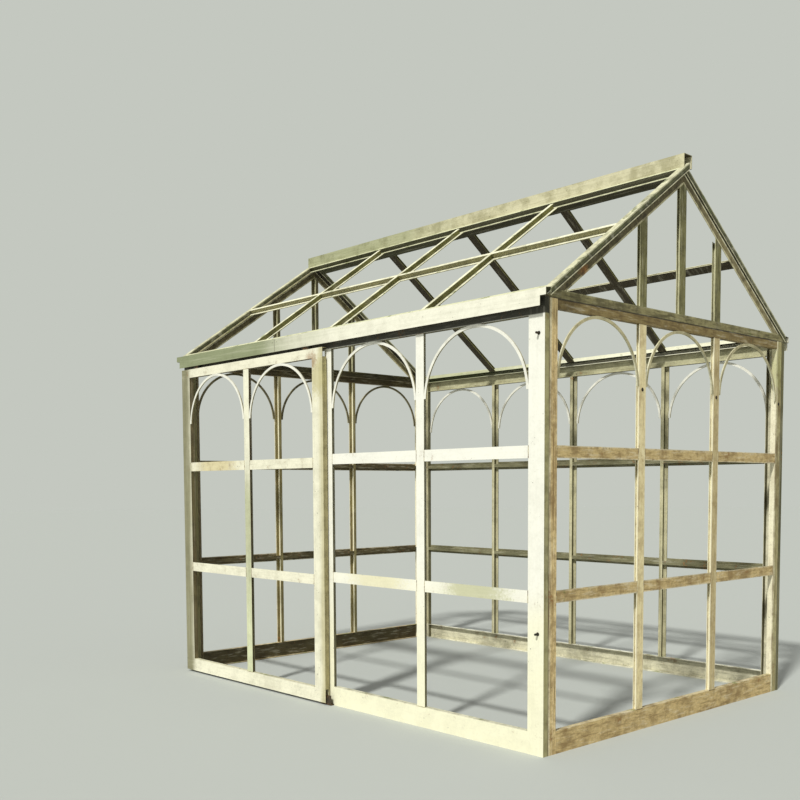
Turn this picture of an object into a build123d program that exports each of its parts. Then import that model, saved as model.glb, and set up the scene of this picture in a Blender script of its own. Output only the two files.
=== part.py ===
from build123d import *

import os
from math import cos, radians, sin, tan

# An old metal greenhouse frame: four wall panels, two gable peaks and two roof slopes, all made of
# folded channel and capped glazing bars, with a row of arched heads round the top. Half of the front
# is a leaf that hangs from a rail behind the eave fascia and slides sideways. It carries no panes.
# Millimetres. X runs along the front wall, the front faces -Y, Z is up, and the origin is on the
# ground at the middle of the plan.

# Walls
wall_length = 3430.0
wall_width = 2450.0
wall_height = 2300.0
wall_depth = 34.0
plate = 3.0

# Glazing bars: a wide outer flange, a web and a narrow inner cap
bar_flange = 64.0
bar_cap = 27.0
bar_plate = 4.0

# Frame members of the panels
corner_post_face = 104.0
gable_post_face = 65.0
foot_rail_height = 118.0
wall_head_height = 80.0
gable_head_height = 48.0
lower_rail_share = 0.352
middle_rail_share = 0.671
long_bays = 4
gable_bays = 3

# Arched heads
arch_bar = 16.0
arch_thickness = 8.0
arch_seat = 1.5
arch_foot_rise = 16.0

# Roof
roof_pitch = 34.7
roof_depth = 34.0
front_verge_overhang = 38.0
back_verge_overhang = 8.0
verge_face = 46.0
eave_overhang = 40.0
eave_band_height = 36.0
eave_top_face = 30.0
ridge_gap = 1.0
purlin_share = 0.5
fascia_height = 48.0

# Ridge cap
ridge_cap_width = 80.0
ridge_cap_leg = 75.0
ridge_cap_overhang = 26.0

# Gable peaks
peak_base_height = 46.0
peak_slope_face = 57.0
peak_joint = 2.0

# Sliding leaf
leaf_width = 1675.0
leaf_depth = 33.0
leaf_gap = 9.0
leaf_inset = 35.0
leaf_bottom = 14.0
leaf_head_drop = 68.0
leaf_rail_drop = 20.0
centre_post_ahead = 5.0
leaf_post_face = 105.0
leaf_head_height = 60.0
leaf_foot_height = 88.0
leaf_bays = 2

# Rail behind the fascia, and the hangers that carry the leaf on its lip
rail_plate = 4.0
rail_reach = 22.0
rail_above_leaf = 26.0
rail_back_height = 30.0
rail_lip = 18.0
rail_setback = 30.0
hanger_plate = 4.0
hanger_length = 60.0
hanger_skirt = 8.0
hanger_running_gap = 0.3
hanger_clearance = 5.0
hanger_inset = 180.0

# Floor guide inside the foot of the leaf, and the two stops that it slides up to
guide_plate = 5.0
guide_length = 100.0
guide_shift = 20.0
guide_lift = 3.0
guide_fin_height = 60.0
stop_radius = 6.0
stop_reach = 22.0
stop_inset = 38.0
stop_shares = (0.28, 0.953)

# Worked out from the sizes above
half_length = wall_length / 2
half_width = wall_width / 2
rise = tan(radians(roof_pitch))
slope_cos = cos(radians(roof_pitch))
slope_sin = sin(radians(roof_pitch))
wall_head_bottom = wall_height - wall_head_height
gable_head_bottom = wall_height - gable_head_height
rail_centres = (wall_height * lower_rail_share, wall_height * middle_rail_share)
leaf_top = wall_height - leaf_head_drop
leaf_left = -half_length + leaf_inset
centre_bar = leaf_left + leaf_width + centre_post_ahead
front_slope_reach = half_length + front_verge_overhang
back_slope_reach = half_length + back_verge_overhang
cap_half_length = half_length + ridge_cap_overhang
eave_reach = half_width + eave_overhang
roof_drop = roof_depth / slope_cos
eave_top = wall_height + roof_drop


def roof_top(y):
    """Height of the roof's outer face at a distance y from the ridge line."""
    return eave_top + (half_width - abs(y)) * rise


def under_roof(y, clear=0.0):
    """Height of the roof's underside, less a distance measured square to the slope."""
    return roof_top(y) - (roof_depth + clear) / slope_cos


def channel(face, depth, thickness=plate):
    """Folded channel: the face is the outside, and both legs point inwards (+Y)."""
    outer = Pos(0, depth / 2) * Rectangle(face, depth)
    inner = Pos(0, depth / 2 + thickness) * Rectangle(face - 2 * thickness, depth)
    return outer - inner


def folded(points, thickness=plate):
    """Section of a folded sheet: its outer side passes through the points, clockwise round the inside."""
    outside = [Vector(*point) for point in points]
    normals = [(b - a).normalized().rotate(Axis.Z, -90) for a, b in zip(outside, outside[1:])]
    inside = [outside[0] + normals[0] * thickness]
    for corner, before, after in zip(outside[1:-1], normals, normals[1:]):
        inside.append(corner + (before + after) * (thickness / (1 + before.dot(after))))
    inside.append(outside[-1] + normals[-1] * thickness)
    return make_face(Polyline(*outside, *reversed(inside), close=True))


def upright(section, u, v0, v1):
    return Pos(u, 0, v0) * extrude(section, v1 - v0)


def crosswise(section, v, u0, u1):
    plane = Plane(origin=(u1, 0, v), x_dir=(0, 0, 1), z_dir=(-1, 0, 0))
    return extrude(plane * section, u1 - u0)


def along_x(section, x0, x1):
    """Extrude a section drawn in Y and Z."""
    plane = Plane(origin=(x0, 0, 0), x_dir=(0, 1, 0), z_dir=(1, 0, 0))
    return extrude(plane * section, x1 - x0)


def slab(u0, u1, d0, d1, v0, v1):
    centre = Pos((u0 + u1) / 2, (d0 + d1) / 2, (v0 + v1) / 2)
    return centre * Box(u1 - u0, d1 - d0, v1 - v0)


bar_halves = (bar_flange / 2, bar_plate / 2, bar_cap / 2)


def layers(depth, flange_outside):
    """Depths of the flange, web and cap of a glazing bar."""
    outer = (0, bar_plate)
    web = (bar_plate, depth - bar_plate)
    inner = (depth - bar_plate, depth)
    return (outer, web, inner) if flange_outside else (inner, web, outer)


def bar_upright(u, v0, v1, depth, flange_outside=True):
    """Glazing bar that stands in a panel, square at both ends."""
    solids = []
    for half, layer in zip(bar_halves, layers(depth, flange_outside)):
        solids.append(slab(u - half, u + half, *layer, v0, v1))
    flange, web, cap = solids
    return flange + web + cap


def bar_cross(v, u0, u1, left_bar, right_bar, depth, flange_outside=True):
    """Glazing bar between two uprights, coped round the flange, web and cap of each bar it meets."""
    solids = []
    for half, layer in zip(bar_halves, layers(depth, flange_outside)):
        reach = bar_flange / 2 - half
        start = u0 - reach if left_bar else u0
        end = u1 + reach if right_bar else u1
        solids.append(slab(start, end, *layer, v - half, v + half))
    flange, web, cap = solids
    return flange + web + cap


def arch(u0, u1, crown):
    """Bent flat bar that fills the head of one bay, seated flat on both sides and under the rail."""
    radius = (u1 - u0) / 2 + arch_seat
    middle = (u0 + u1) / 2
    centre = crown - radius + arch_seat / 2
    hoop = Circle(radius) - Circle(radius - arch_bar)
    face = Plane(origin=(middle, 0, centre), x_dir=(1, 0, 0), z_dir=(0, -1, 0))
    ring = extrude(face * hoop, -arch_thickness)
    return ring & slab(u0, u1, 0, arch_thickness, centre + arch_foot_rise, crown)


def bay_edges(u0, u1, bays):
    """Clear edges of each bay between two posts, with a glazing bar between neighbours."""
    clear = (u1 - u0 - (bays - 1) * bar_flange) / bays
    pitch = clear + bar_flange
    return [(u0 + i * pitch, u0 + i * pitch + clear) for i in range(bays)]


def bar_centres(edges):
    return [(left[1] + right[0]) / 2 for left, right in zip(edges, edges[1:])]


def cross_rails(edges, depth, drop=0.0, left_bar=False):
    """Cross bars of a wall panel. The first bay starts at a glazing bar where left_bar says so."""
    last = len(edges) - 1
    rails = []
    for centre in rail_centres:
        for i, (u0, u1) in enumerate(edges):
            rails.append(bar_cross(centre - drop, u0, u1, i > 0 or left_bar, i < last, depth))
    return rails


def end_rail(v0, v1, u0, u1, depth):
    return crosswise(channel(v1 - v0, depth), (v0 + v1) / 2, u0, u1)


nodes = {}


def add(name, solids):
    shapes = list(solids)
    nodes[name] = shapes[0] if len(shapes) == 1 else Compound(children=shapes)


def place(where, solids):
    return [where * solid for solid in solids]


# Front wall: a fixed half with two bays, and a doorway behind the sliding leaf

front = Pos(0, -half_width, 0)
wall_inner = half_length - corner_post_face
long_edges = bay_edges(-wall_inner, wall_inner, long_bays)
long_bars = bar_centres(long_edges)
fixed_edges = bay_edges(centre_bar + bar_flange / 2, wall_inner, long_bays // 2)


def corner_posts():
    section = channel(corner_post_face, wall_depth)
    centre = half_length - corner_post_face / 2
    return [upright(section, u, 0, wall_height) for u in (-centre, centre)]


def front_wall():
    add("front_corner_posts", place(front, corner_posts()))
    head = end_rail(wall_head_bottom, wall_height, -wall_inner, wall_inner, wall_depth)
    foot = end_rail(0, foot_rail_height, fixed_edges[0][0], wall_inner, wall_depth)
    add("front_end_rails", place(front, [head, foot]))
    centre = bar_upright(centre_bar, 0, wall_head_bottom, wall_depth)
    add("front_centre_post", place(front, [centre]))
    fixed_bars = bar_centres(fixed_edges)
    bars = [bar_upright(u, foot_rail_height, wall_head_bottom, wall_depth) for u in fixed_bars]
    add("front_mullion", place(front, bars))
    add("front_cross_rails", place(front, cross_rails(fixed_edges, wall_depth, left_bar=True)))
    add("front_arches", place(front, [arch(u0, u1, wall_head_bottom) for u0, u1 in fixed_edges]))


# Back wall: four bays, each like those of the fixed half of the front

back = Pos(0, half_width, 0) * Rot(0, 0, 180)


def back_wall():
    add("back_corner_posts", place(back, corner_posts()))
    head = end_rail(wall_head_bottom, wall_height, -wall_inner, wall_inner, wall_depth)
    foot = end_rail(0, foot_rail_height, -wall_inner, wall_inner, wall_depth)
    add("back_end_rails", place(back, [head, foot]))
    bars = [bar_upright(u, foot_rail_height, wall_head_bottom, wall_depth) for u in long_bars]
    add("back_mullions", place(back, bars))
    add("back_cross_rails", place(back, cross_rails(long_edges, wall_depth)))
    add("back_arches", place(back, [arch(u0, u1, wall_head_bottom) for u0, u1 in long_edges]))


# Gable walls: they stand between the long walls, flush with the ends of those

gable_half = half_width - wall_depth
gable_inner = gable_half - gable_post_face
gable_edges = bay_edges(-gable_inner, gable_inner, gable_bays)
gable_bars = bar_centres(gable_edges)


def gable_wall(side, where):
    section = channel(gable_post_face, wall_depth)
    centre = gable_half - gable_post_face / 2
    posts = [upright(section, u, 0, wall_height) for u in (-centre, centre)]
    add(side + "_gable_posts", place(where, posts))
    head = end_rail(gable_head_bottom, wall_height, -gable_inner, gable_inner, wall_depth)
    foot = end_rail(0, foot_rail_height, -gable_inner, gable_inner, wall_depth)
    add(side + "_gable_end_rails", place(where, [head, foot]))
    bars = [bar_upright(u, foot_rail_height, gable_head_bottom, wall_depth) for u in gable_bars]
    add(side + "_gable_mullions", place(where, bars))
    add(side + "_gable_cross_rails", place(where, cross_rails(gable_edges, wall_depth)))
    arches = [arch(u0, u1, gable_head_bottom) for u0, u1 in gable_edges]
    add(side + "_gable_arches", place(where, arches))


# Gable peaks: a triangle on each gable wall, under the roof slopes

peak_base_top = wall_height + peak_base_height


def peak_prism(clear, bottom, depth0, depth1):
    """The triangle under the roof, set in by clear square to the slopes, down to a level."""
    apex = under_roof(0, clear)
    reach = (apex - bottom) / rise
    outline = Polyline((-reach, bottom), (reach, bottom), (0, apex), close=True)
    plane = Plane(origin=(0, depth0, 0), x_dir=(1, 0, 0), z_dir=(0, -1, 0))
    return extrude(plane * make_face(outline), -(depth1 - depth0))


def coped(solid, u0, u1):
    """Trim to the plan of the wall, and cut away all but the face where the eave rail passes behind."""
    top = roof_top(0)
    kept = solid & slab(u0, u1, 0, wall_depth, wall_height, top)
    inner = max(u0, -gable_half), min(u1, gable_half)
    body = kept & slab(*inner, 0, wall_depth, wall_height, top)
    return body + (kept & slab(u0, u1, 0, plate, wall_height, top))


def gable_peak(side, where):
    base_centre = (wall_height + peak_base_top) / 2
    base = crosswise(channel(peak_base_height, wall_depth), base_centre, -half_width, half_width)
    base = coped(base & peak_prism(0.0, wall_height, 0, wall_depth), -half_width, half_width)
    add(side + "_peak_base", place(where, [base]))

    whole = peak_prism(0.0, peak_base_top, 0, wall_depth)
    inside = peak_prism(peak_slope_face, peak_base_top, 0, wall_depth)
    angle = whole - inside - peak_prism(plate, peak_base_top, plate, wall_depth)
    joint = peak_joint / 2
    slopes = [coped(angle, -half_width, -joint), coped(angle, joint, half_width)]
    add(side + "_peak_slopes", place(where, slopes))

    places = (gable_bars[0], 0, gable_bars[-1])
    bars = [bar_upright(u, peak_base_top, under_roof(0), wall_depth) & inside for u in places]
    add(side + "_peak_bars", place(where, bars))


# Roof slopes: each is a panel laid at the pitch, with the wide flange of its bars underneath

slope_length = (half_width - ridge_gap - roof_depth * slope_sin) / slope_cos
front_slope = Pos(0, -half_width, eave_top) * Rot(-(90 - roof_pitch), 0, 0)
half_turn = Rot(0, 0, 180)


def slope_edges(inner):
    """Bays of the roof between its verges, with its bars over the mullions of the walls."""
    half = bar_flange / 2
    starts = [-inner] + [u + half for u in long_bars]
    ends = [u - half for u in long_bars] + [inner]
    return list(zip(starts, ends))


def verges(reach):
    """Channels along both ends of the slope, cut plumb at the wall's face and at the ridge."""
    section = channel(verge_face, roof_depth)
    centre = reach - verge_face / 2
    spare = 2 * roof_depth
    plumb = slab(-reach, reach, -half_width, -ridge_gap, wall_height, roof_top(0))
    runs = [upright(section, u, -spare, slope_length + spare) for u in (-centre, centre)]
    return [solid & plumb for solid in place(front_slope, runs)]


def eave_rail(reach):
    """Folded rail with a foot on the wall, a plumb band and a ledge, a top on the slope and a back leg.

    Outside the wall it runs past the ends of the verges, above the wall it stops at them, and its
    foot stops at the gables.
    """
    crest_y = -half_width + eave_top_face * slope_cos
    crest_z = eave_top + eave_top_face * slope_sin
    section = folded([
        (-gable_half, wall_height),
        (-eave_reach, wall_height),
        (-eave_reach, wall_height + eave_band_height),
        (-half_width, eave_top),
        (crest_y, crest_z),
        (crest_y + roof_depth * slope_sin, crest_z - roof_depth * slope_cos),
    ])
    whole = along_x(section, -reach, reach)
    inner = reach - verge_face
    foot_end = min(inner, half_length - wall_depth)
    foot_top = wall_height + plate
    band = slab(-reach, reach, -eave_reach, -half_width, wall_height, roof_top(0))
    crest = slab(-inner, inner, -half_width, 0, foot_top, roof_top(0))
    foot = slab(-foot_end, foot_end, -half_width, 0, wall_height, foot_top)
    return whole & (band + crest + foot)


def slope_panel(reach):
    """Pieces of the front slope, with its verges out to a distance from the middle."""
    inner = reach - verge_face
    ridge_level = slope_length - bar_flange / 2
    ridge_rail = front_slope * bar_cross(ridge_level, -inner, inner, False, False, roof_depth, False)
    low, high = eave_top_face, slope_length - bar_flange
    rafters = [bar_upright(u, low, high, roof_depth, False) for u in long_bars]
    level = low + (high - low) * purlin_share
    edges = slope_edges(inner)
    last = len(edges) - 1
    purlins = [
        bar_cross(level, u0, u1, i > 0, i < last, roof_depth, False) for i, (u0, u1) in enumerate(edges)
    ]
    return {
        "roof_verges": verges(reach),
        "roof_end_rails": [eave_rail(reach), ridge_rail],
        "roof_rafters": place(front_slope, rafters),
        "roof_purlins": place(front_slope, purlins),
    }


def roof():
    back_panel = slope_panel(back_slope_reach)
    for name, solids in slope_panel(front_slope_reach).items():
        add(name, solids + place(half_turn, back_panel[name]))
    add("ridge_cap", [ridge_cap()])
    fascia_bottom = wall_height - fascia_height
    board = slab(-half_length, half_length, -eave_reach, -eave_reach + plate, fascia_bottom, wall_height)
    add("eave_fascias", [board] + place(half_turn, [board]))


def ridge_cap():
    """Open channel upside down on the ridge, its legs cut to the slopes."""
    outer = ridge_cap_width / 2
    inner = outer - plate
    top = roof_top(outer) + ridge_cap_leg
    outline = Polyline(
        (-outer, roof_top(outer)), (-outer, top), (outer, top), (outer, roof_top(outer)),
        (inner, roof_top(inner)), (inner, top - plate), (-inner, top - plate), (-inner, roof_top(inner)),
        close=True,
    )
    return along_x(make_face(outline), -cap_half_length, cap_half_length)


# Sliding leaf: a narrower panel that hangs in front of the doorway

leaf_face = -half_width - leaf_gap - leaf_depth
leaf = Pos(leaf_left, leaf_face, 0)
leaf_head_bottom = leaf_top - leaf_head_height
leaf_foot_top = leaf_bottom + leaf_foot_height
leaf_edges = bay_edges(leaf_post_face, leaf_width - leaf_post_face, leaf_bays)


def sliding_leaf():
    section = channel(leaf_post_face, leaf_depth)
    centres = (leaf_post_face / 2, leaf_width - leaf_post_face / 2)
    posts = [upright(section, u, leaf_foot_top, leaf_head_bottom) for u in centres]
    add("leaf_posts", place(leaf, posts))
    head = end_rail(leaf_head_bottom, leaf_top, 0, leaf_width, leaf_depth)
    add("leaf_end_rails", place(leaf, [head, leaf_foot_rail()]))
    bars = [bar_upright(u, leaf_foot_top, leaf_head_bottom, leaf_depth) for u in bar_centres(leaf_edges)]
    add("leaf_mullion", place(leaf, bars))
    add("leaf_cross_rails", place(leaf, cross_rails(leaf_edges, leaf_depth, leaf_rail_drop)))
    add("leaf_arches", place(leaf, [arch(u0, u1, leaf_head_bottom) for u0, u1 in leaf_edges]))
    add("leaf_hangers", leaf_hangers())


def leaf_foot_rail():
    """Channel that opens downwards, so that the floor guide stands inside it."""
    section = folded([
        (0, leaf_bottom),
        (0, leaf_foot_top),
        (leaf_depth, leaf_foot_top),
        (leaf_depth, leaf_bottom),
    ])
    return along_x(section, 0, leaf_width)


rail_floor = leaf_top + rail_above_leaf
rail_lip_top = rail_floor + rail_lip


def leaf_rail():
    """J-shaped rail on the wall head, hidden by the fascia."""
    section = folded([
        (-half_width, rail_floor + rail_back_height),
        (-half_width, rail_floor),
        (-half_width - rail_reach, rail_floor),
        (-half_width - rail_reach, rail_lip_top),
    ], rail_plate)
    end = half_length - rail_setback
    return along_x(section, -end, end)


def leaf_hangers():
    """Two hooks that stand on the head of the leaf and ride on the lip of the rail."""
    front_side = -eave_reach + plate + hanger_clearance
    back_side = -half_width - rail_plate - hanger_clearance
    crown = rail_lip_top + hanger_running_gap + hanger_plate
    section = folded([
        (front_side, leaf_top),
        (front_side, crown),
        (back_side, crown),
        (back_side, crown - hanger_plate - hanger_skirt),
    ], hanger_plate)
    middles = (leaf_left + hanger_inset, leaf_left + leaf_width - hanger_inset)
    return [along_x(section, x - hanger_length / 2, x + hanger_length / 2) for x in middles]


def floor_guide():
    """Foot of the centre post: a strap under the leaf, turned up inside its foot rail."""
    fin_front = leaf_face + (leaf_depth - guide_plate) / 2
    section = folded([
        (-half_width, guide_lift),
        (fin_front, guide_lift),
        (fin_front, guide_lift + guide_fin_height),
    ], guide_plate)
    middle = centre_bar - guide_shift
    return along_x(section, middle - guide_length / 2, middle + guide_length / 2)


def leaf_stops():
    """Pegs on the corner post, level with the right edge of the leaf."""
    stop_levels = [leaf_top * share for share in stop_shares]
    face = Plane(origin=(0, -half_width, 0), x_dir=(1, 0, 0), z_dir=(0, -1, 0))
    x = half_length - stop_inset
    return [extrude(face * Pos(x, z) * Circle(stop_radius), stop_reach) for z in stop_levels]


right = Pos(half_length, 0, 0) * Rot(0, 0, 90)
left = Pos(-half_length, 0, 0) * Rot(0, 0, -90)

front_wall()
back_wall()
for side_name, gable in (("right", right), ("left", left)):
    gable_wall(side_name, gable)
    gable_peak(side_name, gable)
roof()
sliding_leaf()
add("leaf_rail", [leaf_rail()])
add("leaf_floor_guide", [floor_guide()])
add("leaf_stops", leaf_stops())

os.makedirs("parts", exist_ok=True)
for node_name, shape in nodes.items():
    export_step(shape, os.path.join("parts", node_name + ".step"))
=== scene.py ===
from math import cos, pi, radians, sin, tan
from random import Random

import bmesh
import bpy
from mathutils import Euler, Matrix, Vector, noise


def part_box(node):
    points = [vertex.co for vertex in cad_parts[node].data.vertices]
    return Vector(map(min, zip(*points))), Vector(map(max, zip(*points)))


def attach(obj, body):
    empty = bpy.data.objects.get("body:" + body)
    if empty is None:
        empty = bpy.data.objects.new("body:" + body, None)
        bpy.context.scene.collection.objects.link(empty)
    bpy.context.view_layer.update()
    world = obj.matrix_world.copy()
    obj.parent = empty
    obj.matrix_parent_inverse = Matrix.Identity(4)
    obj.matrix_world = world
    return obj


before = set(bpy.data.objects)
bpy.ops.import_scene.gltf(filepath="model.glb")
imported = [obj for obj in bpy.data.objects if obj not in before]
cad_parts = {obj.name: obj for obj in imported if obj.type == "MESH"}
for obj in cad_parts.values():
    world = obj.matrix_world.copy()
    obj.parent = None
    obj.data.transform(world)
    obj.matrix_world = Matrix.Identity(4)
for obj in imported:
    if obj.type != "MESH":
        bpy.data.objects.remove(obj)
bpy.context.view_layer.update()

# Looks of an old metal greenhouse frame: cream paint on the long walls, lighter on faces to the front
# from sun bleaching and from painted light, tan and olive weathering on the gables, painted shade on faces
# that look back, down or inwards and in some grooves, painted highlights on some edges, rust where bars
# meet, moss on the roof edges, weld beads, screws and rivets.
# Metres. The front faces -Y, Z is up.


# Sizes and places, read from the frame

def low(node):
    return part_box(node)[0]


def high(node):
    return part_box(node)[1]


def middle(node):
    return (low(node) + high(node)) / 2


flange = 0.064
wall_depth = 0.034
half_length = high("front_corner_posts").x
half_width = -low("front_corner_posts").y
wall_height = high("front_corner_posts").z
wall_inner = high("front_cross_rails").x
gable_inner = high("right_gable_cross_rails").y
gable_half = half_width - wall_depth
foot_top = low("front_mullion").z
wall_head_bottom = high("front_mullion").z
gable_head_bottom = high("right_gable_mullions").z
peak_base_top = high("right_peak_base").z
leaf_front = low("leaf_posts").y
leaf_left = low("leaf_posts").x
leaf_right = high("leaf_posts").x
leaf_top = high("leaf_posts").z
leaf_inner = high("leaf_cross_rails").x
eave_reach = high("roof_end_rails").y
verge_out = high("roof_verges").x
verge_in = high("roof_purlins").x
pitch = radians(34.7)
roof_depth = 0.034
eave_band = 0.036
stop_radius = 0.006
eave_top = wall_height + roof_depth / cos(pitch)


def rail_levels(node):
    """Height of the middle of the lower and of the upper cross rails."""
    return (low(node).z + flange / 2, high(node).z - flange / 2)


wall_rails = rail_levels("front_cross_rails")
leaf_rails = rail_levels("leaf_cross_rails")


def roof_top(y):
    """Height of the roof's outer face."""
    return eave_top + (half_width - abs(y)) * tan(pitch)


# Shader maths

def srgb(red, green, blue):
    """Linear colour from the 0 to 255 values of a picture."""
    values = []
    for level in (red, green, blue):
        level /= 255
        values.append(level / 12.92 if level <= 0.04045 else ((level + 0.055) / 1.055) ** 2.4)
    return (*values, 1.0)


class Value:
    """A socket that can be written into a sum."""

    def __init__(self, nodes, socket):
        self.nodes = nodes
        self.socket = socket

    def maths(self, operation, *others):
        inputs = dict(enumerate((self, *others)))
        return self.nodes.node("ShaderNodeMath", {"operation": operation}, inputs)

    def __add__(self, other):
        return self.maths("ADD", other)

    def __sub__(self, other):
        return self.maths("SUBTRACT", other)

    def __mul__(self, other):
        return self.maths("MULTIPLY", other)

    def __truediv__(self, other):
        return self.maths("DIVIDE", other)

    def __rsub__(self, other):
        return (self * -1.0) + other

    def __neg__(self):
        return self * -1.0

    def __abs__(self):
        return self.maths("ABSOLUTE")

    __radd__ = __add__
    __rmul__ = __mul__

    def most(self, other):
        return self.maths("MAXIMUM", other)

    def step(self, start, end):
        """0 below start and 1 above end, with a smooth climb between them."""
        settings = {"interpolation_type": "SMOOTHSTEP"}
        return self.nodes.node("ShaderNodeMapRange", settings, {0: self, 1: start, 2: end})


class Nodes:
    """The nodes of a material or of the stage's world."""

    def __init__(self, tree):
        self.tree = tree

    def node(self, kind, settings, inputs, output=0):
        """Make a node, with its settings before its inputs, and give one of its outputs."""
        made = self.tree.nodes.new(kind)
        for key, setting in settings.items():
            if key == "stops":
                self.ramp(made.color_ramp, setting)
            else:
                setattr(made, key, setting)
        for key, given in inputs.items():
            self.feed(made.inputs[key], given)
        return Value(self, made.outputs[output]) if made.outputs else None

    def feed(self, socket, given):
        if isinstance(given, Value):
            self.tree.links.new(given.socket, socket)
        else:
            socket.default_value = given

    def ramp(self, ramp, stops):
        while len(ramp.elements) < len(stops):
            ramp.elements.new(1.0)
        for element, (position, colour) in zip(ramp.elements, stops):
            element.position = position
            element.color = colour


class Surface(Nodes):
    """A material and its nodes."""

    def __init__(self, name):
        self.material = bpy.data.materials.new(name)
        self.material.use_nodes = True
        super().__init__(self.material.node_tree)
        self.shader = self.tree.nodes["Principled BSDF"]
        self.place = self.node("ShaderNodeTexCoord", {}, {}, "Object")
        self.facing = self.parts(self.node("ShaderNodeTexCoord", {}, {}, "Normal"))

    def parts(self, vector):
        made = self.tree.nodes.new("ShaderNodeSeparateXYZ")
        self.feed(made.inputs[0], vector)
        return [Value(self, socket) for socket in made.outputs]

    def stretched(self, scale, shift=(0.0, 0.0, 0.0)):
        inputs = {"Vector": self.place, "Location": shift, "Scale": scale}
        return self.node("ShaderNodeMapping", {}, inputs)

    def clouds(self, scale, detail=3.0, roughness=0.55, where=None, shift=0.0):
        where = where or self.stretched((1.0, 1.0, 1.0), (shift, shift * 0.7, shift * 1.3))
        inputs = {"Vector": where, "Scale": scale, "Detail": detail, "Roughness": roughness}
        return self.node("ShaderNodeTexNoise", {}, inputs, "Fac")

    def near(self, point, radius, ragged):
        """1 at a point and 0 outside the radius, with a ragged edge."""
        settings = {"operation": "DISTANCE"}
        reach = self.node("ShaderNodeVectorMath", settings, {0: self.place, 1: point}, "Value")
        return (reach + (ragged - 0.5) * radius * 1.8).step(radius, radius * 0.3)

    def mix(self, mask, first, second, blend="MIX"):
        settings = {"data_type": "RGBA", "blend_type": blend}
        return self.node("ShaderNodeMix", settings, {0: mask, 6: first, 7: second}, 2)

    def finish(self, colour, roughness, bump, metallic=0.0, height=0.002):
        self.feed(self.shader.inputs["Base Color"], colour)
        self.feed(self.shader.inputs["Roughness"], roughness)
        self.feed(self.shader.inputs["Metallic"], metallic)
        inputs = {"Strength": 0.5, "Distance": height, "Height": bump}
        self.feed(self.shader.inputs["Normal"], self.node("ShaderNodeBump", {}, inputs))
        return self.material


# Finishes

rust_bright = srgb(166, 118, 66)
rust_deep = srgb(98, 72, 44)
olive_grime = srgb(92, 88, 48)
moss_green = srgb(104, 118, 44)
tan_grime = srgb(122, 98, 54)
bare_dark = srgb(62, 56, 42)
bleached = srgb(255, 250, 226)
# Cream of the painted highlight on the flange edges.
edge_highlight_cream = srgb(254, 245, 210)
lit_cream = srgb(254, 248, 214)
shaded_brown = srgb(66, 56, 35)
rust_patch = srgb(176, 118, 70)

joint_reach = 0.10
rim_fade = (0.008, 0.003)


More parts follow.
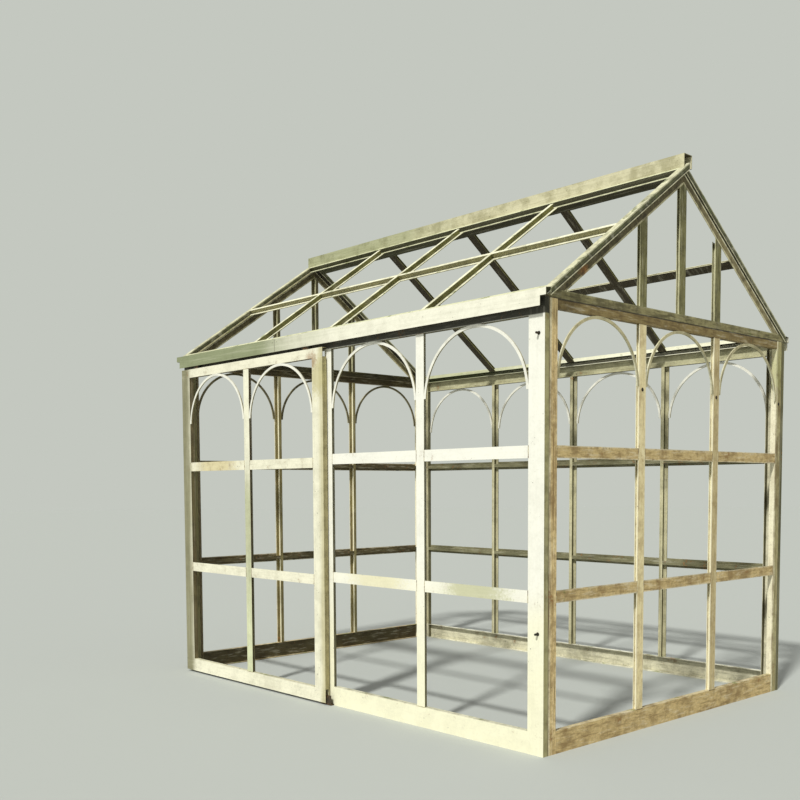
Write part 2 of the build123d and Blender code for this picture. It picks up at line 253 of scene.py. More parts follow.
def weathered_paint(
    name, front, side, top, back, below=None, clean=0.5, streaks=0.5, rust=0.3, moss=0.3, side_moss=0.0,
    levels=(), tints=(), spots=(), grime=olive_grime, green=moss_green, along=(96.0, 96.0, 2.0), deep=0.62,
    pale=0.5, grain=0.12, inside=None, rims=(), shift=0.0,
):
    """Old paint, lighter on the faces that look to the front from bleaching and from painted light, with
    grime, runs, rust and moss.

    Below is the colour of faces that look down, a painted shade, and inside that of gable faces that look
    inwards, darker paint for dirt and for painted shade.
    Levels are the heights at which bars meet and rust gathers. Along is the scale of the streaks.
    Tints are (axis, start, end, colour, strength) and grow from start to end. The axis is x, y, z, roof
    for the depth below the roof's outer face, or middle for the distance from the middle of the length.
    A word before it, front or side, keeps the tint to the faces that look that way.
    Spots are (point, radius, colour, strength).
    Rims are (axis, place) of the bars whose flange edges get a painted highlight, broken up in patches.
    """
    surface = Surface(name)
    axes = surface.parts(surface.place)
    face_x, face_y, face_z = surface.facing
    to_front = (-face_y).step(0.25, 0.75)
    to_back = face_y.step(0.25, 0.75)
    to_side = abs(face_x).step(0.4, 0.8)
    upward = face_z.step(0.35, 0.8)
    downward = (-face_z).step(0.35, 0.8)

    # Colours by facing: front faces lighter and faces that look back darker, partly the paint's own wear
    # and partly painted light and shade.
    colour = surface.mix(to_front, side, front)
    colour = surface.mix(to_back, colour, back)
    # Faces that look down take the below colour as painted shade.
    if below:
        colour = surface.mix(downward, colour, below)
    dirt = 1.0 - to_front * clean

    finer = [scale * 3.4 for scale in along]
    broad = surface.clouds(2.3, detail=3.0, roughness=0.5, shift=shift)
    patch = surface.clouds(11.0, detail=6.0, roughness=0.68, shift=shift + 3.1)
    fleck = surface.clouds(64.0, detail=3.0, roughness=0.6, shift=shift + 5.7)
    run = surface.clouds(1.0, detail=4.0, roughness=0.6, where=surface.stretched(along, (shift, 0.3, 0.1)))
    hair = surface.clouds(1.0, detail=2.0, roughness=0.5, where=surface.stretched(finer))

    looks = {"front": to_front, "side": to_side}
    for words, start, end, tint, strength in tints:
        *faces, axis = words.split()
        if axis == "roof":
            place = roof_top(0) - axes[2] - abs(axes[1]) * tan(pitch)
        elif axis == "middle":
            place = abs(axes[0])
        else:
            place = axes["xyz".index(axis)]
        reach = (place + (broad - 0.5) * abs(end - start)).step(start, end)
        for face in faces:
            reach = reach * looks[face]
        colour = surface.mix(reach * strength, colour, tint)
    ragged = patch * 0.4 + fleck * 0.6
    for point, radius, tint, strength in spots:
        colour = surface.mix(surface.near(point, radius, ragged) * strength, colour, tint)
    # Gable faces that look inwards take the inside colour, dirt and painted shade.
    if inside:
        inwards = (-(axes[0] * face_x)).step(0.8, 1.4)
        colour = surface.mix(inwards, colour, inside)
    # Painted highlight along both edges of each rimmed flange, broken up in patches.
    for axis, centre in rims:
        rim = abs(abs(axes["xyz".index(axis)] - centre) - flange / 2)
        edge_highlight = rim.step(*rim_fade) * patch.step(0.34, 0.54)
        colour = surface.mix(edge_highlight * 0.75, colour, edge_highlight_cream)
    colour = surface.mix(upward, colour, top)

    darker = surface.mix(deep, colour, grime, "MULTIPLY")
    stained = surface.mix((patch + broad * 0.5).step(0.66, 0.94) * dirt * 0.8, colour, darker)
    stained = surface.mix(run.step(0.5, 0.68) * dirt * streaks, stained, darker)
    paler = surface.mix(pale, colour, bleached)
    stained = surface.mix((1.0 - run).step(0.52, 0.68) * streaks * 0.6, stained, paler)
    stained = surface.mix(hair.step(0.54, 0.7) * dirt * 0.4, stained, darker)
    stained = surface.mix((fleck.step(0.3, 0.75) * grain + 0.01) * (0.35 + dirt * 0.65), stained, grime)

    spread = patch * 0.7 + fleck * 0.3
    near = None
    for level in levels:
        close = 1.0 - (abs(axes[2] - level) / joint_reach).step(0.2, 1.0)
        near = close.most(near) if near else close
    if near:
        spread = spread + near * 0.10
    rusty = spread.step(0.72 - rust * 0.16, 0.80 - rust * 0.14) * (0.35 + dirt * 0.65)
    rust_colour = surface.mix(fleck.step(0.35, 0.65), rust_deep, rust_bright)
    stained = surface.mix(rusty * 0.7, stained, rust_colour)

    cushions = surface.clouds(17.0, detail=6.0, roughness=0.7, shift=shift + 9.3)
    growth = cushions + upward * 0.12 + broad * 0.2 - to_front * 0.05 + to_side * side_moss
    grown = growth.step(0.80 - moss * 0.24, 0.93 - moss * 0.24)
    stained = surface.mix(grown * 0.75, stained, green)

    chips = surface.clouds(88.0, detail=2.0, roughness=0.4, shift=shift + 12.4)
    chip = chips.step(0.71, 0.74) * patch.step(0.4, 0.6)
    stained = surface.mix(chip * 0.7, stained, bare_dark)

    roughness = 0.62 + patch * 0.22 + rusty * 0.12
    height = fleck * 0.35 + patch * 0.6 + rusty * 0.5 + grown * 0.8 - chip * 0.9
    return surface.finish(stained, roughness, height)


def bars_and_rails(name, front, *others, rail_front=None, **settings):
    """The same paint twice: its streaks run down the bars and along the rails.

    Rail_front is the front colour of the rails where it isn't that of the bars.
    """
    bars = weathered_paint(name + "_paint", front, *others, **settings)
    settings["streaks"] *= 0.8
    settings["along"] = (7.0, 60.0, 76.0)
    rails = weathered_paint(name + "_rail_paint", rail_front or front, *others, **settings)
    return bars, rails


def rusty_steel(name, base, rust=1.0):
    """Bare steel with patches of rust."""
    surface = Surface(name)
    patch = surface.clouds(30.0, detail=6.0, roughness=0.7)
    grain = surface.clouds(240.0, detail=3.0, roughness=0.6)
    colour = surface.mix(patch.step(0.4, 0.65) * rust, base, rust_deep)
    colour = surface.mix(grain.step(0.55, 0.7) * patch.step(0.45, 0.6) * rust, colour, rust_bright)
    return surface.finish(colour, 0.55 + patch * 0.3, grain + patch, metallic=0.35, height=0.0012)


def weld_finish():
    """Paint that rust has broken through."""
    surface = Surface("weld_seams")
    patch = surface.clouds(24.0, detail=5.0, roughness=0.7)
    grain = surface.clouds(300.0, detail=2.0, roughness=0.6)
    # Faces of a bead that look to the front are lighter, partly as painted light.
    to_front = (-surface.facing[1]).step(0.0, 0.6)
    painted = surface.mix(to_front, srgb(132, 116, 74), srgb(196, 186, 146))
    colour = surface.mix(patch.step(0.42, 0.6), painted, rust_deep)
    colour = surface.mix(grain.step(0.5, 0.8) * 0.5, colour, rust_bright)
    return surface.finish(colour, 0.7 + grain * 0.2, grain, height=0.001)


def moss_finish():
    """Moss, with pale lichen on its crowns."""
    surface = Surface("moss")
    patch = surface.clouds(34.0, detail=5.0, roughness=0.7)
    fine = surface.clouds(420.0, detail=3.0, roughness=0.7)
    stops = [
        (0.30, srgb(52, 60, 22)),
        (0.48, srgb(104, 116, 44)),
        (0.62, srgb(158, 162, 84)),
        (0.78, srgb(206, 206, 160)),
    ]
    colour = surface.node("ShaderNodeValToRGB", {"stops": stops}, {0: patch * 0.6 + fine * 0.4})
    return surface.finish(colour, 0.92, fine + patch, height=0.003)


# Paint of each part of the frame: front, side, top and back colours, then how it has aged, with painted
# light and shade among the facing colours, tints and spots

joints = (*wall_rails, wall_head_bottom, foot_top)
gable_bars = (low("right_gable_mullions").y + flange / 2, high("right_gable_mullions").y - flange / 2)

front_paint, front_rail_paint = bars_and_rails(
    "front", srgb(254, 252, 236), srgb(140, 134, 90), srgb(230, 227, 196), srgb(96, 90, 58),
    below=srgb(120, 112, 74), clean=0.84, streaks=0.35, rust=0.2, moss=0.1, levels=joints,
    tints=[
        ("front z", 1.0, 0.3, srgb(252, 248, 208), 0.75),
        ("side x", half_length - 0.02, half_length - 0.01, srgb(184, 176, 124), 0.9),
        # Painted shadow of the fascia: near black on all that stands above the bottom of the head rail.
        ("z", wall_head_bottom - 0.002, wall_head_bottom + 0.006, srgb(42, 40, 25), 0.96),
    ],
    spots=[
        ((0.45, -half_width, wall_rails[0]), 0.34, srgb(234, 226, 176), 0.65),
        ((1.24, -half_width, wall_rails[0]), 0.32, srgb(200, 200, 158), 0.85),
    ],
)
leaf_paint, leaf_rail_paint = bars_and_rails(
    "leaf", srgb(250, 246, 218), srgb(112, 94, 60), srgb(226, 221, 186), srgb(96, 88, 56),
    below=srgb(112, 100, 64), clean=0.64, streaks=0.5, rust=0.34, moss=0.16,
    levels=(*leaf_rails, high("leaf_end_rails").z - 0.03), shift=4.0,
    tints=[
        # Painted shade: the left stile of the leaf darker olive.
        ("x", leaf_left + 0.14, leaf_left + 0.06, srgb(116, 112, 70), 0.85),
        ("x", leaf_right - 0.06, leaf_right - 0.005, srgb(198, 188, 136), 0.7),
    ],
    spots=[
        ((leaf_left + 0.45, leaf_front, leaf_rails[1]), 0.36, srgb(222, 206, 150), 0.75),
        ((leaf_right - 0.03, leaf_front, leaf_top - 0.12), 0.16, srgb(196, 186, 126), 0.7),
        ((leaf_inner - 0.01, leaf_front, leaf_top - 0.014), 0.07, srgb(168, 134, 98), 0.7),
    ],
)
leaf_mullion_paint = weathered_paint(
    "leaf_mullion_paint", srgb(250, 247, 220), srgb(112, 94, 60), srgb(226, 221, 186), srgb(96, 88, 56),
    below=srgb(112, 100, 64), clean=0.64, streaks=0.5, rust=0.2, moss=0.16, levels=leaf_rails, shift=6.0,
    tints=[
        ("front z", 1.6, 1.3, srgb(192, 195, 154), 0.85),
        ("front z", 0.85, 0.6, srgb(228, 232, 188), 0.85),
    ],
)
post_paint = weathered_paint(
    "gable_post_paint", srgb(254, 247, 212), srgb(248, 221, 158), srgb(206, 190, 146), srgb(120, 108, 70),
    below=shaded_brown, clean=0.75, streaks=0.95, rust=0.5, moss=0.16, levels=joints,
    grime=tan_grime, along=(75.0, 75.0, 5.0), deep=0.78, pale=0.4, grain=0.34,
    inside=srgb(128, 114, 70), shift=8.0,
    tints=[
        # Painted highlight along the front edge of the post's outer face, with a painted shadow line right
        # at the edge.
        ("side y", -gable_half + 0.022, -gable_half + 0.014, srgb(244, 232, 190), 0.85),
        ("side y", -gable_half + 0.008, -gable_half + 0.003, srgb(92, 86, 50), 0.85),
        ("side y", 0.9, 1.1, srgb(250, 244, 206), 0.85),
        ("side y", gable_half - 0.052, gable_half - 0.044, srgb(182, 173, 118), 0.85),
    ],
    spots=[((half_length, gable_half - 0.03, gable_head_bottom - 0.14), 0.2, srgb(176, 178, 108), 0.6)],
)
gable_bar_paint = weathered_paint(
    "gable_bar_paint", lit_cream, srgb(254, 238, 184), srgb(214, 200, 158), srgb(118, 106, 70),
    below=shaded_brown, clean=0.75, streaks=0.6, rust=0.3, moss=0.2, levels=joints,
    grime=srgb(146, 120, 66), along=(64.0, 64.0, 8.0), deep=0.56, grain=0.16,
    inside=srgb(136, 127, 80), rims=[("y", place) for place in gable_bars], shift=9.0,
    tints=[
        ("side y", 0.05, 0.3, srgb(206, 188, 138), 0.85),
        # Painted sunlight: bright cream on all that lies more than 12 mm in from the bars' outer face.
        ("middle", half_length - 0.008, half_length - 0.012, srgb(254, 248, 212), 0.9),
    ],
)
gable_rail_paint = weathered_paint(
    "gable_rail_paint", srgb(206, 194, 148), srgb(222, 196, 136), srgb(214, 198, 152), srgb(112, 100, 64),
    below=shaded_brown, clean=0.3, streaks=0.8, rust=0.24, moss=0.24, levels=joints,
    grime=tan_grime, along=(9.0, 9.0, 72.0), deep=0.72, pale=0.5, grain=0.26,
    inside=srgb(86, 80, 48), rims=[("z", level) for level in wall_rails], shift=10.0,
    tints=[
        ("z", gable_head_bottom - 0.03, gable_head_bottom - 0.01, srgb(136, 118, 68), 0.9),
        # Painted shadow line in the groove where the peak base sits on the head rail.
        ("z", wall_height - 0.005, wall_height - 0.003, srgb(40, 34, 20), 0.9),
    ],
)
# Painted light and shade on the back wall: the middle cross rails' front faces darker as shade, the tops
# and the foot rail lighter and the end stiles lit cream as sunlight.
back_paint, back_rail_paint = bars_and_rails(
    "back", srgb(216, 209, 166), srgb(112, 107, 70), srgb(250, 248, 226), srgb(176, 170, 126),
    rail_front=srgb(136, 132, 98),
    below=shaded_brown, clean=0.2, streaks=0.85, rust=0.4, moss=0.34, levels=joints, grain=0.2, shift=12.0,
    tints=[
        ("front x", wall_inner - 0.002, wall_inner + 0.002, lit_cream, 0.85),
        ("front z", wall_head_bottom - 0.002, wall_head_bottom + 0.002, srgb(206, 202, 162), 0.85),
        ("front z", foot_top + 0.002, foot_top - 0.002, srgb(240, 234, 200), 0.85),
    ],
)
peak_paint = weathered_paint(
    "peak_paint", srgb(204, 200, 156), srgb(154, 145, 98), srgb(176, 172, 132), srgb(92, 84, 52),
    below=shaded_brown, clean=0.3, streaks=0.85, rust=0.3, moss=0.4, along=(9.0, 9.0, 76.0),
    grime=srgb(88, 80, 46), deep=0.8, pale=0.22, grain=0.24, inside=srgb(82, 74, 44), shift=16.0,
    tints=[
        # Painted shadow line in the groove where the peak base sits on the head rail.
        ("z", wall_height + 0.005, wall_height + 0.003, srgb(40, 34, 20), 0.9),
        ("z", peak_base_top - 0.008, peak_base_top - 0.005, srgb(176, 170, 124), 0.8),
    ],
)
peak_bar_paint = weathered_paint(
    "peak_bar_paint", srgb(214, 210, 166), srgb(132, 127, 80), srgb(176, 172, 132), srgb(92, 84, 52),
    below=shaded_brown, clean=0.3, streaks=0.85, rust=0.25, moss=0.36, side_moss=0.04,
    grime=srgb(90, 86, 48), along=(70.0, 70.0, 8.0), deep=0.75, pale=0.4, grain=0.24,
    inside=srgb(92, 84, 50), shift=17.0,
)
peak_slope_paint = weathered_paint(
    "peak_slope_paint", srgb(168, 160, 116), srgb(108, 98, 62), srgb(150, 144, 104), srgb(74, 64, 40),
    below=srgb(58, 48, 28), clean=0.3, streaks=0.9, rust=0.35, moss=0.34, along=(26.0, 26.0, 26.0),
    grime=srgb(76, 66, 38), deep=0.7, pale=0.12, shift=18.0,
    tints=[
        ("y", 0.05, 0.5, srgb(158, 146, 102), 0.85),
        # Painted shade: dark within 48 mm of the roof's outer face, under the verge. Painted highlights:
        # the pale band just below it and the pale part more than 100 mm down.
        ("roof", 0.061, 0.057, srgb(250, 244, 206), 0.95),
        ("roof", 0.050, 0.048, srgb(36, 30, 18), 0.95),
        ("roof", 0.097, 0.101, srgb(232, 224, 178), 0.85),
    ],
    spots=[
        ((half_length, -0.92, roof_top(0.92) - 0.08), 0.055, srgb(176, 122, 62), 0.85),
        ((-half_length, 0.55, roof_top(0.55) - 0.08), 0.05, rust_patch, 0.7),
    ],
)
verge_paint = weathered_paint(
    "verge_paint", srgb(206, 206, 164), srgb(96, 96, 60), srgb(226, 223, 184), srgb(84, 82, 50),
    below=srgb(58, 50, 32), clean=0.2, streaks=0.6, rust=0.2, moss=0.3, side_moss=0.08,
    grime=srgb(70, 66, 38), green=srgb(92, 102, 56), along=(20.0, 14.0, 20.0), shift=20.0,
    tints=[
        # Painted highlights on the top edge and below 36 mm down, with a painted shadow line from 29 to 34
        # mm down.
        ("roof", 0.010, 0.006, srgb(224, 220, 180), 0.9), ("roof", 0.026, 0.029, srgb(38, 34, 20), 0.8),
        ("roof", 0.034, 0.036, srgb(236, 230, 190), 0.9),
    ],
)
eave_paint = weathered_paint(
    "eave_paint", srgb(252, 249, 226), srgb(112, 108, 70), srgb(222, 222, 180), srgb(84, 80, 50),
    below=shaded_brown, clean=0.72, streaks=0.5, rust=0.25, moss=0.36, along=(2.2, 60.0, 90.0), shift=24.0,
    tints=[("x", 0.4, -1.0, srgb(134, 143, 100), 0.92), ("z", 2.90, 2.95, srgb(66, 62, 38), 0.85)],
)
bar_paint = weathered_paint(
    "bar_paint", srgb(232, 226, 172), srgb(138, 136, 78), srgb(252, 249, 214), srgb(84, 74, 44),
    below=shaded_brown, clean=0.4, streaks=0.5, rust=0.25, moss=0.3, along=(40.0, 5.0, 8.0), shift=28.0,
)
cap_paint = weathered_paint(
    "cap_paint", srgb(222, 216, 178), srgb(150, 144, 104), srgb(238, 233, 194), srgb(150, 144, 102),
    below=shaded_brown, clean=0.1, streaks=0.34, rust=0.14, moss=0.3, along=(2.4, 60.0, 70.0),
    grime=srgb(126, 122, 68), shift=32.0, tints=[("x", 0.5, -1.2, srgb(158, 164, 122), 0.75)],
)
arch_paint = weathered_paint(
    "arch_paint", srgb(250, 248, 232), srgb(170, 160, 116), srgb(232, 228, 204), srgb(150, 142, 100),
    clean=0.6, streaks=0.3, rust=0.3, moss=0.15, along=(30.0, 30.0, 30.0), shift=36.0,
)
gable_arch_paint = weathered_paint(
    "gable_arch_paint", srgb(236, 232, 200), srgb(204, 194, 150), srgb(214, 206, 166), srgb(150, 138, 96),
    clean=0.3, streaks=0.4, rust=0.4, moss=0.2, along=(30.0, 30.0, 30.0),
    # Painted shade: the inward faces and the arches of the left gable darker.
    inside=srgb(104, 96, 62), shift=40.0,
    tints=[("x", -half_length + 0.3, -half_length + 0.2, srgb(142, 132, 92), 0.8)],
)
steel = rusty_steel("runner_steel", srgb(74, 66, 52))
bolt_steel = rusty_steel("bolt_steel", srgb(58, 50, 38))
stop_steel = rusty_steel("stop_steel", srgb(40, 39, 30), rust=0.25)
welds = weld_finish()
moss = moss_finish()


paint_by_name = [
    ("roof_verges", verge_paint), ("roof_end_rails", eave_paint), ("eave_fascias", eave_paint),
    ("ridge_cap", cap_paint), ("roof", bar_paint),
    ("gable_arches", gable_arch_paint), ("arches", arch_paint),
    ("leaf_rail", steel), ("leaf_hangers", steel), ("leaf_floor_guide", steel), ("leaf_stops", stop_steel),
    ("leaf_cross_rails", leaf_rail_paint), ("leaf_end_rails", leaf_rail_paint),
    ("leaf_mullion", leaf_mullion_paint), ("leaf", leaf_paint),
    ("front_cross_rails", front_rail_paint), ("front_end_rails", front_rail_paint), ("front", front_paint),
    ("back_cross_rails", back_rail_paint), ("back_end_rails", back_rail_paint), ("back", back_paint),
    ("gable_posts", post_paint), ("gable_mullions", gable_bar_paint), ("gable", gable_rail_paint),
    ("peak_slopes", peak_slope_paint), ("peak_bars", peak_bar_paint), ("peak", peak_paint),
]


def finish_of(node):
    """Material of the first entry whose word is in the node's name."""
    for words, material in paint_by_name:
        if words in node:
            return material
    raise ValueError(node)


for name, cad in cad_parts.items():
    for cad_slot in cad.material_slots:
        cad_slot.material = finish_of(name)


# New pieces

def piece(name, bm, material, body):
    """Make an object of the mesh, which rides on a body."""
    mesh = bpy.data.meshes.new(name)
    bm.normal_update()
    bm.to_mesh(mesh)
    bm.free()
    mesh.materials.append(material)
    made = bpy.data.objects.new(name, mesh)
    bpy.context.scene.collection.objects.link(made)
    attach(made, body)
    return made


def turned(profile, steps):
    """A round part about Z, from the radius and height of each point of its outline."""
    bm = bmesh.new()
    points = [bm.verts.new((radius, 0.0, height)) for radius, height in profile]
    line = [bm.edges.new(pair) for pair in zip(points, points[1:])]
    bmesh.ops.spin(
        bm, geom=points + line, axis=(0, 0, 1), cent=(0, 0, 0), angle=2 * pi, steps=steps, use_merge=True,
    )
    bmesh.ops.remove_doubles(bm, verts=bm.verts, dist=1e-6)
    bmesh.ops.recalc_face_normals(bm, faces=bm.faces)
    return bm


def copies(base, places):
    """One mesh with the base part at every place."""
    template = bpy.data.meshes.new("template")
    base.to_mesh(template)
    base.free()
    bm = bmesh.new()
    for place in places:
        before = len(bm.verts)
        bm.from_mesh(template)
        bm.verts.ensure_lookup_table()
        bmesh.ops.transform(bm, matrix=place, verts=bm.verts[before:])
    bpy.data.meshes.remove(template)
    return bm


def outward(point, direction):
    """Place with its Z axis along the direction."""
    return Matrix.Translation(point) @ Vector(direction).to_track_quat("Z", "Y").to_matrix().to_4x4()


class Wall:
    """A panel seen from outside: u runs to the right, v up, and depth inwards.

    Ends are where the cross rails end, centres where the bars stand, and levels where the rails run.
    """

    def __init__(self, name, body, slot, to_frame, ends, centres, levels, foot, head):
        self.name = name
        self.body = body
        self.slot = slot
        self.to_frame = to_frame
        starts = [ends[0]] + [centre + flange / 2 for centre in centres]
        stops = [centre - flange / 2 for centre in centres] + [ends[1]]
        self.bays = list(zip(starts, stops))
        self.centres = centres
        self.levels = levels
        self.foot = foot
        self.head = head

    def seams(self):
        """Ends of each weld bead on the outer face."""
        half = flange / 2
        lines = []
        for level in self.levels:
            for bay in self.bays:
                for u in bay:
                    lines.append(((u, level - half), (u, level + half)))
        for centre in self.centres:
            for v in (self.foot, self.head):
                lines.append(((centre - half, v), (centre + half, v)))
        return lines


def bar_places(node, axis, count):
    """Middle of each of the evenly spaced bars of a node, along one axis."""
    first = low(node)[axis] + flange / 2
    last = high(node)[axis] - flange / 2
    return [first + (last - first) * i / max(1, count - 1) for i in range(count)]


half_turn = Matrix.Rotation(pi, 4, "Z")
walls = [
    Wall(
        "front", "frame", "wall_paint", Matrix.Translation((0, -half_width, 0)),
        (high("front_centre_post").x, wall_inner), bar_places("front_mullion", 0, 1),
        wall_rails, foot_top, wall_head_bottom,
    ),
    Wall(
        "back", "frame", "wall_paint", Matrix.Translation((0, half_width, 0)) @ half_turn,
        (-wall_inner, wall_inner), bar_places("back_mullions", 0, 3),
        wall_rails, foot_top, wall_head_bottom,
    ),
    Wall(
        "leaf", "leaf", "leaf_paint", Matrix.Translation((0, leaf_front, 0)),
        (low("leaf_cross_rails").x, leaf_inner), bar_places("leaf_mullion", 0, 1),
        leaf_rails, low("leaf_mullion").z, high("leaf_mullion").z,
    ),
]
for side, sign in (("right", 1), ("left", -1)):
    to_frame = Matrix.Translation((sign * half_length, 0, 0)) @ Matrix.Rotation(sign * pi / 2, 4, "Z")
    walls.append(Wall(
        side + "_gable", "frame", "wall_paint", to_frame, (-gable_inner, gable_inner),
        bar_places("right_gable_mullions", 1, 2), wall_rails, foot_top, gable_head_bottom,
    ))


bead_sides = 6
bead_cuts = 11
bead_radius = 0.0024
bead_stand = 0.0008
ripples_per_metre = 420


def bead(bm, start, end, radius, seed):
    """A rippled weld along a line on the outer face of a wall."""
    ahead = Vector(end) - Vector(start)
    place = outward((Vector(start) + Vector(end)) / 2, ahead)
    made = bmesh.ops.create_cone(
        bm, cap_ends=True, segments=bead_sides, radius1=radius, radius2=radius, depth=ahead.length,
        matrix=place,
    )
    edges = dict.fromkeys(edge for vert in made["verts"] for edge in vert.link_edges)
    long_edges = [edge for edge in edges if edge.calc_length() > ahead.length * 0.9]
    bmesh.ops.subdivide_edges(bm, edges=long_edges, cuts=bead_cuts, use_grid_fill=True)
    direction = ahead.normalized()
    for vert in bm.verts:
        if vert.tag:
            continue  # already part of an earlier bead
        vert.tag = True
        along = (vert.co - Vector(start)).dot(direction)
        centre = Vector(start) + direction * along
        swell = abs(sin(along * ripples_per_metre + seed))
        spatter = noise.noise(vert.co * 90 + Vector((seed, 0, 0)))
        ripple = 0.82 + 0.2 * swell + 0.18 * spatter
        vert.co = centre + (vert.co - centre) * ripple


def weld_beads(wall):
    bm = bmesh.new()
    for seed, ((u0, v0), (u1, v1)) in enumerate(wall.seams()):
        bead(bm, (u0, bead_stand, v0), (u1, bead_stand, v1), bead_radius, seed * 1.7)
    bmesh.ops.transform(bm, matrix=wall.to_frame, verts=bm.verts)
    piece(wall.name + "_welds", bm, welds, wall.body)


for wall in walls:
    weld_beads(wall)


gable_screw_drop = 0.355
back_screw_drop = 0.380
rear_screw_inset = 0.030
eave_joint_x = -0.51
rivet_shift = 0.022
rivet_scale = 0.55


def dome_screw():
    """Round-headed screw on a washer."""
    return turned([
        (0.0, 0.0062), (0.0026, 0.0059), (0.0052, 0.0046), (0.0068, 0.0024), (0.0070, 0.0014),
        (0.0098, 0.0014), (0.0104, 0.0009), (0.0104, -0.0004), (0.0, -0.0004),
    ], 20)


def gable_screws():
    """One screw below each arch foot, through the flange of the mullion and of the rear post."""
    places = []
    level = gable_head_bottom - gable_screw_drop
    for wall in walls:
        if "gable" not in wall.name:
            continue
        rear = gable_half - rear_screw_inset
        if wall.name.startswith("left"):
            rear = -rear
        for u in (*wall.centres, rear):
            places.append(wall.to_frame @ outward((u, 0.0, level), (0, -1, 0)))
    piece("gable_screws", copies(dome_screw(), places), stop_steel, "frame")


def back_screws():
    """Screws through the bars of the back wall, below the arch feet."""
    places = []
    level = wall_head_bottom - back_screw_drop
    for wall in walls:
        if wall.name == "back":
            places += [wall.to_frame @ outward((u, 0.0, level), (0, -1, 0)) for u in wall.centres]
    piece("back_screws", copies(dome_screw(), places), bolt_steel, "frame")


def stop_washers():
    """Dark washer behind each stop on the corner post, partly standing for the stop's shade on the post.
    """
    stop = middle("leaf_stops")
    washer = turned([
        (0.0058, 0.0), (0.0058, 0.0022), (0.0086, 0.0022), (0.0096, 0.0014), (0.0096, 0.0), (0.0058, 0.0),
    ], 24)
    places = [
        outward((stop.x, -half_width, level), (0, -1, 0))
        for level in (low("leaf_stops").z + stop_radius, high("leaf_stops").z - stop_radius)
    ]
    piece("stop_washers", copies(washer, places), stop_steel, "frame")


def eave_joint():
    """Butt joint in the eave rail over the doorway, with its two rivets."""
    y = -eave_reach
    bottom = Vector((eave_joint_x, y + 0.0006, wall_height - 0.046))
    top = Vector((eave_joint_x, y + 0.0006, wall_height + eave_band - 0.002))
    bm = bmesh.new()
    bead(bm, bottom, top, radius=0.0017, seed=3.0)
    piece("eave_joint", bm, bolt_steel, "frame")
    places = [
        outward((x, y, wall_height + 0.016), (0, -1, 0))
        for x in (eave_joint_x - rivet_shift, eave_joint_x + rivet_shift)
    ]
    small = dome_screw()
    bmesh.ops.scale(small, vec=(rivet_scale, rivet_scale, rivet_scale), verts=small.verts)
    piece("eave_rivets", copies(small, places), eave_paint, "frame")


gable_screws()
back_screws()
stop_washers()
eave_joint()


verge_cushions = 11
tie_cushions = 5
eave_cushions = 14


def moss_cushion(bm, point, radius, height, seed):
    """A lumpy half ball on the point. Earlier cushions of the mesh are drawn in round it."""
    bmesh.ops.create_icosphere(bm, subdivisions=3, radius=1.0)
    shift = Vector((seed * 3.7, seed * 1.3, 0))
    for vert in bm.verts:
        lumps = 0.5 * noise.noise(vert.co * 1.6 + shift)
        tufts = 0.22 * noise.noise(vert.co * 5.0 + shift)
        swell = 0.78 + lumps + tufts
        x, y, z = vert.co
        vert.co = Vector(point) + Vector((x * radius, y * radius * 0.8, max(z, -0.25) * height)) * swell


def roof_moss():
    """A tuft of moss on the front eave, where the last cushion gathers in those before it."""
    draw = Random(11)
    bm = bmesh.new()
    seed = 0
    for side in (1, -1):
        for slope in (-1, 1):
            for _ in range(verge_cushions):
                share = draw.uniform(0.03, 0.95)
                y = slope * half_width * share
                x = side * (verge_out - draw.uniform(0.003, 0.016))
                size = draw.uniform(0.005, 0.012)
                moss_cushion(bm, (x, y, roof_top(y) - 0.001), size, size * 0.7, seed)
                seed += 1
        for _ in range(tie_cushions):
            y = draw.uniform(-gable_inner, gable_inner * 0.8)
            x = side * (half_length - draw.uniform(0.006, 0.026))
            size = draw.uniform(0.006, 0.013)
            moss_cushion(bm, (x, y, peak_base_top), size, size * 0.8, seed)
            seed += 1
    for _ in range(eave_cushions):
        x = draw.uniform(-verge_in, verge_in)
        y = -eave_reach + draw.uniform(0.008, 0.034)
        size = draw.uniform(0.004, 0.009)
        moss_cushion(bm, (x, y, wall_height + eave_band + 0.002), size, size * 0.6, seed)
        seed += 1
    made = piece("roof_moss", bm, moss, "frame")
    for polygon in made.data.polygons:
        polygon.use_smooth = True


roof_moss()


# Stage, light and view

stage_tone = srgb(196, 200, 192)
floor_tone = srgb(186, 190, 182)
floor_radius = 60.0
sky_strength = 0.42
sun_strength = 2.9
sun_width = radians(5)
sun_direction = (0.22, -0.625, 0.75)

# The camera, from a fit to the lines of the frame: rows and lengths in pixels of the square picture

picture_width = 800
focal_length = 1000.6
lens_axis_row = 552.1
sensor_width = 36.0
eye_place = (4.907, -5.115, 1.372)
look_down = radians(3.75)
look_round = radians(47.576)
camera_roll = radians(-0.29)


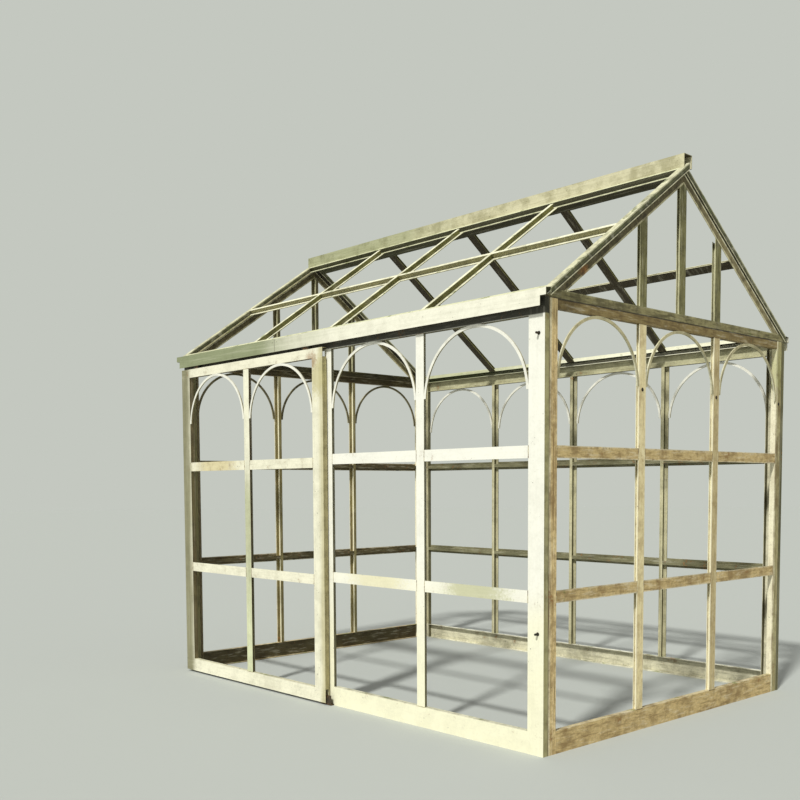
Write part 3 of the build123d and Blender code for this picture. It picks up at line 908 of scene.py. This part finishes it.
def floor():
    """Plain pale floor that reaches past every view."""
    bm = bmesh.new()
    bmesh.ops.create_circle(bm, cap_ends=True, segments=96, radius=floor_radius)
    mesh = bpy.data.meshes.new("floor")
    bm.to_mesh(mesh)
    bm.free()
    material = bpy.data.materials.new("floor")
    material.use_nodes = True
    shader = material.node_tree.nodes["Principled BSDF"]
    shader.inputs["Base Color"].default_value = floor_tone
    shader.inputs["Roughness"].default_value = 0.95
    shader.inputs["Specular IOR Level"].default_value = 0.1
    mesh.materials.append(material)
    ground = bpy.data.objects.new("floor", mesh)
    bpy.context.scene.collection.objects.link(ground)


def sky():
    """Even light from all round, with the tone of the stage behind the object."""
    world = bpy.data.worlds.new("studio")
    world.use_nodes = True
    world.node_tree.nodes.clear()
    nodes = Nodes(world.node_tree)
    white = (1.0, 1.0, 1.0, 1.0)
    light = nodes.node("ShaderNodeBackground", {}, {"Color": white, "Strength": sky_strength})
    seen = nodes.node("ShaderNodeBackground", {}, {"Color": stage_tone})
    camera_ray = nodes.node("ShaderNodeLightPath", {}, {}, "Is Camera Ray")
    glossy_ray = nodes.node("ShaderNodeLightPath", {}, {}, "Is Glossy Ray")
    through_ray = nodes.node("ShaderNodeLightPath", {}, {}, "Is Transmission Ray")
    either = camera_ray.most(glossy_ray).most(through_ray)
    mixed = nodes.node("ShaderNodeMixShader", {}, {0: either, 1: light, 2: seen})
    nodes.node("ShaderNodeOutputWorld", {}, {"Surface": mixed})
    bpy.context.scene.world = world


def key_lamp():
    """Broad sun from the front, above and a little to the right."""
    lamp = bpy.data.lights.new("key", "SUN")
    lamp.energy = sun_strength
    lamp.angle = sun_width
    made = bpy.data.objects.new("key", lamp)
    made.rotation_euler = Vector(sun_direction).to_track_quat("Z", "Y").to_euler()
    bpy.context.scene.collection.objects.link(made)


def photo_view():
    """Camera at the eye of the photo, shifted up as its picture is cut from a taller one."""
    camera = bpy.data.cameras.new("photo_view")
    camera.sensor_width = sensor_width
    camera.lens = sensor_width * focal_length / picture_width
    camera.shift_y = (lens_axis_row - picture_width / 2) / picture_width
    camera.clip_end = 300.0
    turn = Euler((pi / 2 - look_down, 0.0, look_round)).to_matrix()
    roll = Matrix.Rotation(camera_roll, 3, "Z")
    made = bpy.data.objects.new("photo_view", camera)
    made.matrix_world = Matrix.Translation(eye_place) @ (turn @ roll).to_4x4()
    bpy.context.scene.collection.objects.link(made)
    bpy.context.scene.camera = made


floor()
sky()
key_lamp()
photo_view()
bpy.context.scene.view_settings.view_transform = "Standard"
